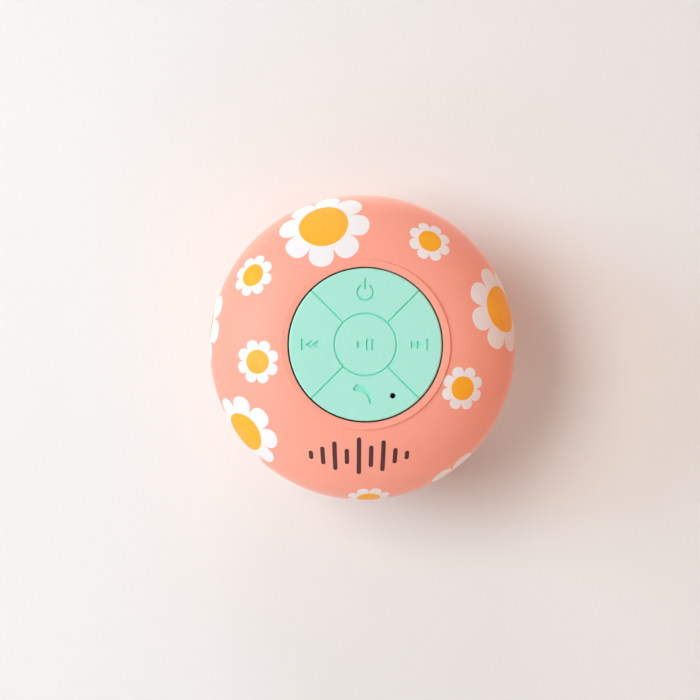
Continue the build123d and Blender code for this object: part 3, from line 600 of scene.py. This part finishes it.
def wall_material():
    """Plain pale paint that shows only from the room, and lets light from behind it through."""
    finish = Finish("wall_paint", MATT_PAINT)
    finish.paint(finish.blend(finish.noise(0.2), colour(234, 227, 223), colour(231, 224, 220)))
    backfacing = finish.feed("NewGeometry", {}).outputs["Backfacing"]
    shadow_ray = finish.feed("LightPath", {}).outputs["Is Shadow Ray"]
    unseen = finish.maths("MAXIMUM", backfacing, shadow_ray)
    clear = finish.feed("BsdfTransparent", {}).outputs["BSDF"]
    mixed = finish.feed("MixShader", {0: unseen, 1: finish.shader.outputs["BSDF"], 2: clear})
    output = finish.nodes["Material Output"].inputs["Surface"]
    finish.material.node_tree.links.new(mixed.outputs["Shader"], output)
    return finish.material


def floor_material():
    """Plain pale paint, kept as light as the backdrop to the eye, without lighting the object."""
    finish = Finish("floor_paint", MATT_PAINT)
    finish.paint(finish.blend(finish.noise(0.2), colour(230, 224, 220), colour(226, 220, 216)))
    finish.shader.inputs["Emission Color"].default_value = BACKDROP
    camera_ray = finish.feed("LightPath", {}).outputs["Is Camera Ray"]
    finish.link(finish.maths("MULTIPLY", camera_ray, FLOOR_GLOW), "Emission Strength")
    return finish.material


stage_plane("wall", wall_material(), HALF_WALL, (WALL_GAP, FLOOR), (WALL_GAP, HALF_WALL))
stage_plane("floor", floor_material(), HALF_FLOOR, (-HALF_FLOOR, FLOOR), (HALF_FLOOR, FLOOR))

# --- Lights -----------------------------------------------------------------------------------------
middle = (cad_box[0] + cad_box[1]) / 2


def area_light(name, offset, width, height, power, tint=(1.0, 1.0, 1.0)):
    """A soft light out of the camera's sight, placed from the middle of the object and turned to it."""
    lamp = bpy.data.lights.new(name, "AREA")
    lamp.shape = "RECTANGLE"
    lamp.size = width
    lamp.size_y = height
    lamp.energy = power
    lamp.color = tint
    light = bpy.data.objects.new(name, lamp)
    light.location = middle + Vector(offset)
    light.rotation_mode = "QUATERNION"
    light.rotation_quaternion = Vector(offset).to_track_quat("Z", "Y")
    light.visible_camera = False
    bpy.context.scene.collection.objects.link(light)


area_light("window", (-0.573, -0.928, 0.143), 0.4, 0.7, 8.2, (0.87, 0.94, 0.97))
area_light("side", (-0.938, -0.550, 0.165), 0.4, 0.4, 5.0, (0.45, 0.82, 1.0))
area_light("above", (-0.150, -0.376, 1.020), 0.4, 0.4, 2.7, (1.0, 1.0, 0.96))
area_light("bounce", (1.080, -0.180, 0.100), 0.5, 0.5, 2.9, (1.0, 0.38, 0.16))
area_light("back", (-0.150, 0.800, 0.800), 0.7, 0.7, 9.0)

ROOM_GLOW = (0.96, 0.74, 0.62, 1.0)
ROOM_STRENGTH = 0.245


def warm_room():
    """A warm glow from all round, which the camera sees as a plain pale backdrop."""
    world = bpy.data.worlds.new("warm_room")
    world.use_nodes = True
    nodes, links = world.node_tree.nodes, world.node_tree.links
    glow = nodes["Background"]
    glow.inputs["Color"].default_value = ROOM_GLOW
    glow.inputs["Strength"].default_value = ROOM_STRENGTH
    backdrop = nodes.new("ShaderNodeBackground")
    backdrop.inputs["Color"].default_value = BACKDROP
    seen = nodes.new("ShaderNodeMixShader")
    links.new(nodes.new("ShaderNodeLightPath").outputs["Is Camera Ray"], seen.inputs[0])
    links.new(glow.outputs["Background"], seen.inputs[1])
    links.new(backdrop.outputs["Background"], seen.inputs[2])
    links.new(seen.outputs["Shader"], nodes["World Output"].inputs["Surface"])
    return world


bpy.context.scene.world = warm_room()
bpy.context.scene.view_settings.view_transform = "Standard"

# --- Camera: straight ahead, a little to the left of the axis and below it --------------------------
CAMERA_OFFSET = Vector((-0.0209, -0.5090, -0.0171))
TARGET_OFFSET = Vector((-0.0036, -0.0090, -0.0009))
FOCAL_LENGTH = 91.3
SENSOR_WIDTH = 36.0

lens = bpy.data.cameras.new("camera")
lens.lens = FOCAL_LENGTH
lens.sensor_width = SENSOR_WIDTH
lens.clip_start = 0.05
camera = bpy.data.objects.new("camera", lens)
camera.location = middle + CAMERA_OFFSET
camera.rotation_mode = "QUATERNION"
camera.rotation_quaternion = (CAMERA_OFFSET - TARGET_OFFSET).to_track_quat("Z", "Y")
bpy.context.scene.collection.objects.link(camera)
bpy.context.scene.camera = camera
